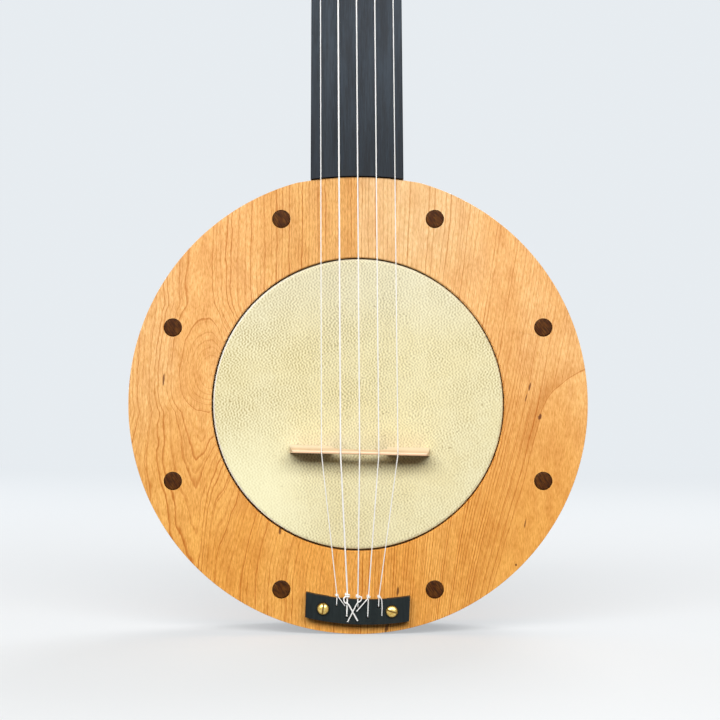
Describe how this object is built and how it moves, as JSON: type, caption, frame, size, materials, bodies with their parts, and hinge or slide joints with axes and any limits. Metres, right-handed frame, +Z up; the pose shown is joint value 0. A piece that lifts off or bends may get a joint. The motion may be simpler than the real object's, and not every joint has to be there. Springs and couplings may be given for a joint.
{
  "type": "banjo",
  "caption": "Open-back fretless banjo: a pot of glued wooden rings with a skin head, a bridge, a curved tailpiece, knotted strings, a long neck with a drone peg in its side and friction pegs.",
  "frame": {"origin": "on the flat back face of the pot's back ring, at the pot's tail end, in the middle of the ring's width", "axes": "+Z up along the neck to the peghead, +Y out of the back face, so the head and the strings face -Y, and +X to the right of someone who looks at the head"},
  "size_m": [0.2792, 0.1052, 0.8927],
  "materials": {
    "cherry": "oiled, satin",
    "walnut": "oiled, satin",
    "ebony": "oiled, satin",
    "rosewood": "polished",
    "maple": "bare, fine sanded",
    "skin": "natural hide, slightly pebbled",
    "bone": "polished bone",
    "brass": "polished",
    "steel": "plain",
    "nylon": "smooth, white"
  },
  "bodies": {
    "instrument": {"front_ring": "cherry", "core_ring": "cherry", "back_ring": "cherry", "head_skin": "skin", "tone_hoop": "steel", "dowel_stick": "cherry", "dowel_end_screw": "steel", "neck": "cherry", "fingerboard": "ebony", "nut": "bone", "fifth_string_nut": "bone", "peghead_overlay": "ebony", "bridge": "maple", "tailpiece": "ebony", "tailpiece_screw_1": "brass", "tailpiece_screw_2": "brass", "plug_1": "walnut", "plug_2": "walnut", "plug_3": "walnut", "plug_4": "walnut", "plug_5": "walnut", "plug_6": "walnut", "plug_7": "walnut", "plug_8": "walnut", "ring_screw_1": "steel", "ring_screw_2": "steel", "ring_screw_3": "steel", "ring_screw_4": "steel", "ring_screw_5": "steel", "ring_screw_6": "steel", "ring_screw_7": "steel", "ring_screw_8": "steel", "string_1": "nylon", "string_2": "nylon", "string_3": "nylon", "string_4": "nylon", "string_5": "nylon"},
    "first_string_peg": {"peg_1": "rosewood"},
    "second_string_peg": {"peg_2": "rosewood"},
    "third_string_peg": {"peg_3": "rosewood"},
    "fourth_string_peg": {"peg_4": "rosewood"},
    "fifth_string_peg": {"peg_5": "rosewood"}
  },
  "joints": [
    {"name": "peg_1_turn", "type": "hinge", "parent": "instrument", "child": "first_string_peg", "pos_m": [0.0196, -0.01018, 0.76034], "axis": [0, -0.9694, 0.2453], "continuous": true, "deforming": ["string_1"]},
    {"name": "peg_2_turn", "type": "hinge", "parent": "instrument", "child": "second_string_peg", "pos_m": [0.0196, 0.00159, 0.80688], "axis": [0, -0.9694, 0.2453], "continuous": true, "deforming": ["string_2"]},
    {"name": "peg_3_turn", "type": "hinge", "parent": "instrument", "child": "third_string_peg", "pos_m": [-0.0154, 0.00159, 0.80688], "axis": [0, -0.9694, 0.2453], "continuous": true, "deforming": ["string_3"]},
    {"name": "peg_4_turn", "type": "hinge", "parent": "instrument", "child": "fourth_string_peg", "pos_m": [-0.0154, -0.01018, 0.76034], "axis": [0, -0.9694, 0.2453], "continuous": true, "deforming": ["string_4"]},
    {"name": "peg_5_turn", "type": "hinge", "parent": "instrument", "child": "fifth_string_peg", "pos_m": [-0.03219, -0.03792, 0.5946], "axis": [1, 0, 0], "continuous": true, "deforming": ["string_5"]}
  ]
}
